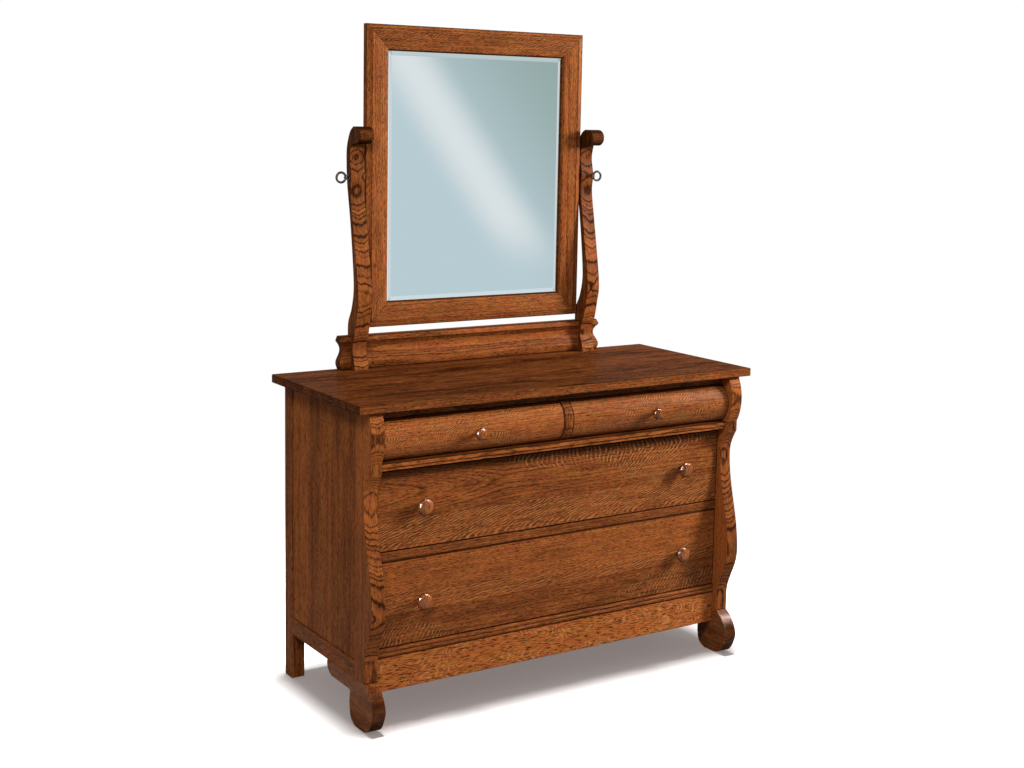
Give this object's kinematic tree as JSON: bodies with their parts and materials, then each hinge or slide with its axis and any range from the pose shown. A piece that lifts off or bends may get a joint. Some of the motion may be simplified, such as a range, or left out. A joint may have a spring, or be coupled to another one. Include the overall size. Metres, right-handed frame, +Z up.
{
  "type": "dresser with mirror",
  "caption": "Oak dresser with bowed small drawers over wide flat ones, S-curved front posts on ball feet, and a framed mirror that tilts between scroll-topped standards.",
  "frame": {"origin": "On the floor, half way across the case, and half way from the small knobs' faces to the back edge of the top.", "axes": "+X to the right seen from the front, +Y from the front to the back, +Z up."},
  "size_m": [1.264, 0.5412, 1.8033],
  "materials": {
    "oak": "quarter-sawn oak, stained brown, satin lacquer",
    "drawer_wood": "pale hardwood, clear sealed",
    "plywood": "oak-faced plywood, clear sealed",
    "mirror_glass": "silvered glass with a bevelled edge",
    "pewter": "antique pewter plating"
  },
  "bodies": {
    "case": {"top_panel": "oak", "front_post_left": "oak", "front_post_right": "oak", "front_foot_left": "oak", "front_foot_right": "oak", "rear_leg_left": "oak", "rear_leg_right": "oak", "side_rail_left": "oak", "side_rail_right": "oak", "side_panel_left": "oak", "side_panel_right": "oak", "front_top_rail": "oak", "centre_stile": "oak", "moulded_rail": "oak", "middle_rail": "oak", "lower_rail": "oak", "apron": "oak", "back_rail": "oak", "back_panel": "plywood", "dust_panel_upper": "plywood", "dust_panel_middle": "plywood", "dust_panel_lower": "plywood", "centre_partition": "plywood", "mirror_base": "oak", "standard_left": "oak", "standard_right": "oak"},
    "small_drawer_left": {"drawer_small_left_front": "oak", "drawer_small_left_side_left": "drawer_wood", "drawer_small_left_side_right": "drawer_wood", "drawer_small_left_back": "drawer_wood", "drawer_small_left_bottom": "plywood", "knob_small_left": "oak"},
    "small_drawer_right": {"drawer_small_right_front": "oak", "drawer_small_right_side_left": "drawer_wood", "drawer_small_right_side_right": "drawer_wood", "drawer_small_right_back": "drawer_wood", "drawer_small_right_bottom": "plywood", "knob_small_right": "oak"},
    "wide_drawer_upper": {"drawer_wide_upper_front": "oak", "drawer_wide_upper_side_left": "drawer_wood", "drawer_wide_upper_side_right": "drawer_wood", "drawer_wide_upper_back": "drawer_wood", "drawer_wide_upper_bottom": "plywood", "knob_upper_left": "oak", "knob_upper_right": "oak"},
    "wide_drawer_lower": {"drawer_wide_lower_front": "oak", "drawer_wide_lower_side_left": "drawer_wood", "drawer_wide_lower_side_right": "drawer_wood", "drawer_wide_lower_back": "drawer_wood", "drawer_wide_lower_bottom": "plywood", "knob_lower_left": "oak", "knob_lower_right": "oak"},
    "mirror": {"mirror_frame_top": "oak", "mirror_frame_bottom": "oak", "mirror_frame_left": "oak", "mirror_frame_right": "oak", "mirror_glass": "mirror_glass", "mirror_backing": "plywood"},
    "screw_left": {"thumb_screw_left": "pewter"},
    "screw_right": {"thumb_screw_right": "pewter"}
  },
  "joints": [
    {"name": "small_drawer_left_slide", "type": "slide", "parent": "case", "child": "small_drawer_left", "axis": [0, -1, 0], "range_m": [0, 0.33]},
    {"name": "small_drawer_right_slide", "type": "slide", "parent": "case", "child": "small_drawer_right", "axis": [0, -1, 0], "range_m": [0, 0.33]},
    {"name": "wide_drawer_upper_slide", "type": "slide", "parent": "case", "child": "wide_drawer_upper", "axis": [0, -1, 0], "range_m": [0, 0.33]},
    {"name": "wide_drawer_lower_slide", "type": "slide", "parent": "case", "child": "wide_drawer_lower", "axis": [0, -1, 0], "range_m": [0, 0.33]},
    {"name": "mirror_tilt", "type": "hinge", "parent": "case", "child": "mirror", "pos_m": [0, 0.25165, 1.3843], "axis": [1, 0, 0], "range_deg": [-25, 25]},
    {"name": "screw_left_turn", "type": "hinge", "parent": "mirror", "child": "screw_left", "pos_m": [-0.409, 0.25165, 1.3843], "axis": [1, 0, 0], "continuous": true},
    {"name": "screw_right_turn", "type": "hinge", "parent": "mirror", "child": "screw_right", "pos_m": [0.409, 0.25165, 1.3843], "axis": [1, 0, 0], "continuous": true}
  ]
}
